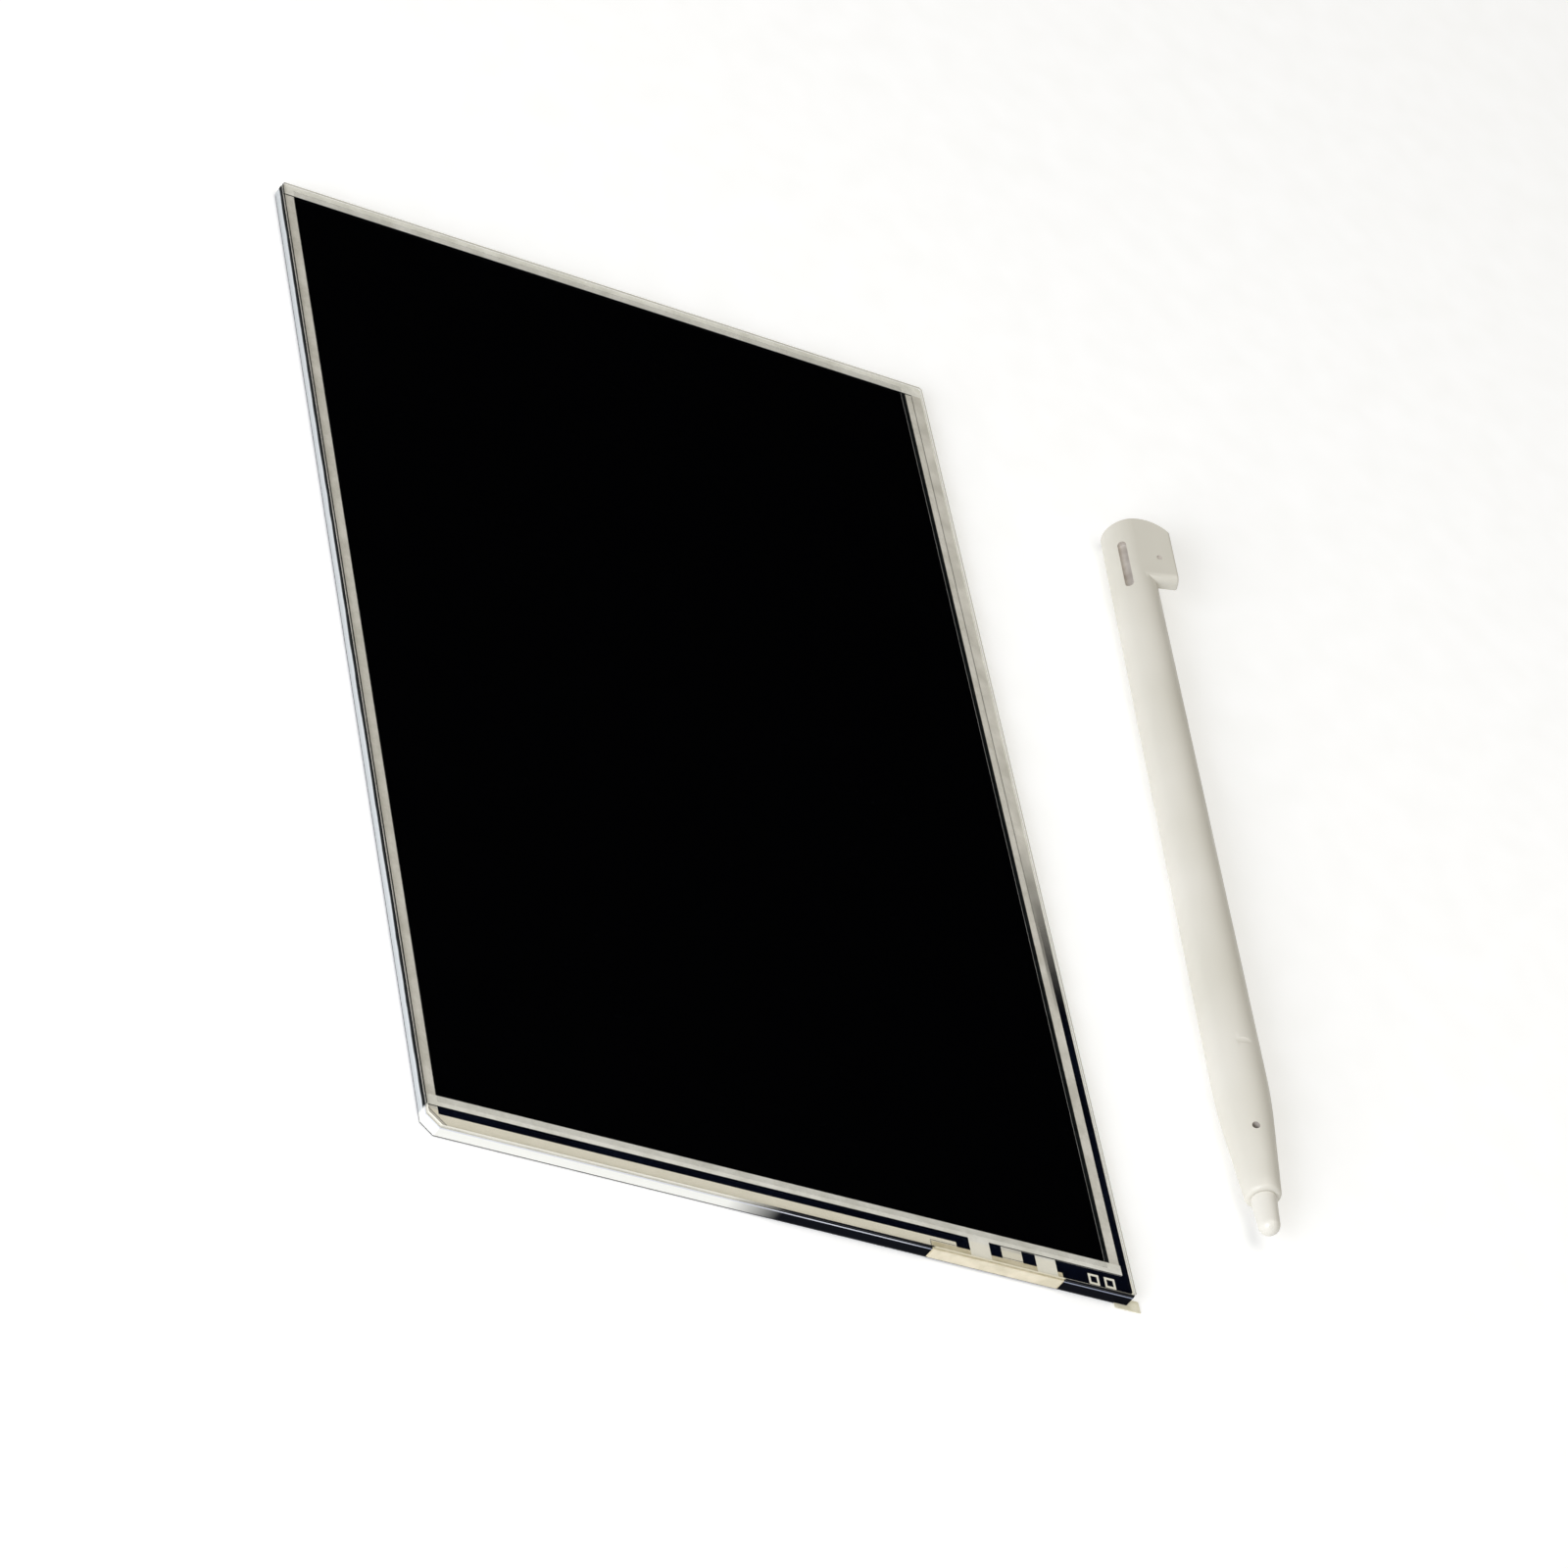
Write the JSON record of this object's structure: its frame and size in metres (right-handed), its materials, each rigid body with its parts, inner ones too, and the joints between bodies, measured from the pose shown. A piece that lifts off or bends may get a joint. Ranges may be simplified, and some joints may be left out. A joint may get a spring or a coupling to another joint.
{
  "type": "touch panel with stylus",
  "caption": "Flat rectangular resistive touch panel with a black window, silver bus bars and bonded flex end, and a slim white stylus lying beside it.",
  "frame": {"origin": "centre of the panel's underside, on the surface that the panel and the stylus lie on", "axes": "+Z out of the panel's front, +Y along the panel's long side away from the terminals, +X across the short side towards the stylus"},
  "size_m": [0.0933, 0.1076, 0.0053],
  "materials": {
    "black_vinyl": "flat black film",
    "clear_tape": "clear double-sided tape",
    "release_paper": "cream release paper",
    "glass": "polished float glass, edges ground",
    "conductive_coating": "clear conductive coating",
    "silver_ink": "printed silver ink, warm cream seen through the film",
    "insulating_ink": "grey-green insulating print",
    "polyester_film": "clear glossy polyester film",
    "flex_film": "flexible lead base film",
    "flex_cover": "flexible lead cover film",
    "tinned_copper": "tinned copper",
    "white_plastic": "satin white moulded plastic"
  },
  "bodies": {
    "panel": {"backing_film": "black_vinyl", "backing_adhesive": "clear_tape", "backing_release_tab": "release_paper", "glass_plate": "glass", "glass_coating": "conductive_coating", "left_bus_bar": "silver_ink", "right_bus_bar": "silver_ink", "insulating_print": "insulating_ink", "spacer_tape": "clear_tape", "bottom_bus_bar": "silver_ink", "top_bus_bar": "silver_ink", "film_coating": "conductive_coating", "touch_film": "polyester_film", "flex_base": "flex_film", "flex_coverlay": "flex_cover", "terminal_1": "tinned_copper", "terminal_2": "tinned_copper", "terminal_3": "tinned_copper", "terminal_4": "tinned_copper", "alignment_mark_left": "silver_ink", "alignment_mark_right": "silver_ink"},
    "stylus": {"stylus_body": "white_plastic", "stylus_nib": "white_plastic"}
  },
  "joints": [
    {"name": "stylus_lift", "type": "slide", "parent": "panel", "child": "stylus", "axis": [0, 0, 1], "range_m": [0, 0.06]}
  ]
}
